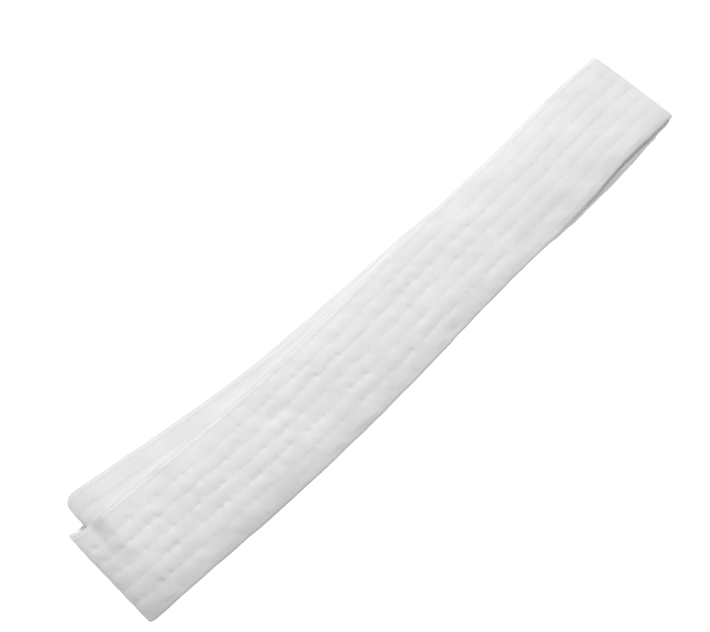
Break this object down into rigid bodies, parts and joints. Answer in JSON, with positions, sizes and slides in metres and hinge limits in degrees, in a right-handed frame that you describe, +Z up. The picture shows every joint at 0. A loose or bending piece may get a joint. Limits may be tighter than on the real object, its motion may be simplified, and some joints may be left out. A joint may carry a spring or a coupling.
{
  "type": "martial arts belt",
  "caption": "White cotton martial arts belt with close lengthwise rows of stitching, folded over itself into a flat rectangular bundle.",
  "frame": {"origin": "centre of the bundle's bounding box, on the surface it rests on", "axes": "+X along the bundle, from the end with the nested folds to the end with the free ends; +Y across it, towards the side where the inner layers slid out; +Z up"},
  "size_m": [0.2718, 0.057, 0.0158],
  "materials": {
    "cover_cotton": "matte cotton drill",
    "core_cotton": "plain cotton",
    "cotton_thread": "matte sewing thread"
  },
  "bodies": {
    "root": {"wrapped_cover": "cover_cotton", "core_ply_face": "core_cotton", "core_ply_back": "core_cotton", "needle_thread_row_1": "cotton_thread", "needle_thread_row_2": "cotton_thread", "needle_thread_row_3": "cotton_thread", "needle_thread_row_4": "cotton_thread", "needle_thread_row_5": "cotton_thread", "needle_thread_row_6": "cotton_thread", "needle_thread_row_7": "cotton_thread", "bobbin_thread_row_1": "cotton_thread", "bobbin_thread_row_2": "cotton_thread", "bobbin_thread_row_3": "cotton_thread", "bobbin_thread_row_4": "cotton_thread", "bobbin_thread_row_5": "cotton_thread", "bobbin_thread_row_6": "cotton_thread", "bobbin_thread_row_7": "cotton_thread", "outer_end_needle_stitches": "cotton_thread", "outer_end_bobbin_stitches": "cotton_thread", "inner_end_needle_stitches": "cotton_thread", "inner_end_bobbin_stitches": "cotton_thread"}
  },
  "joints": []
}
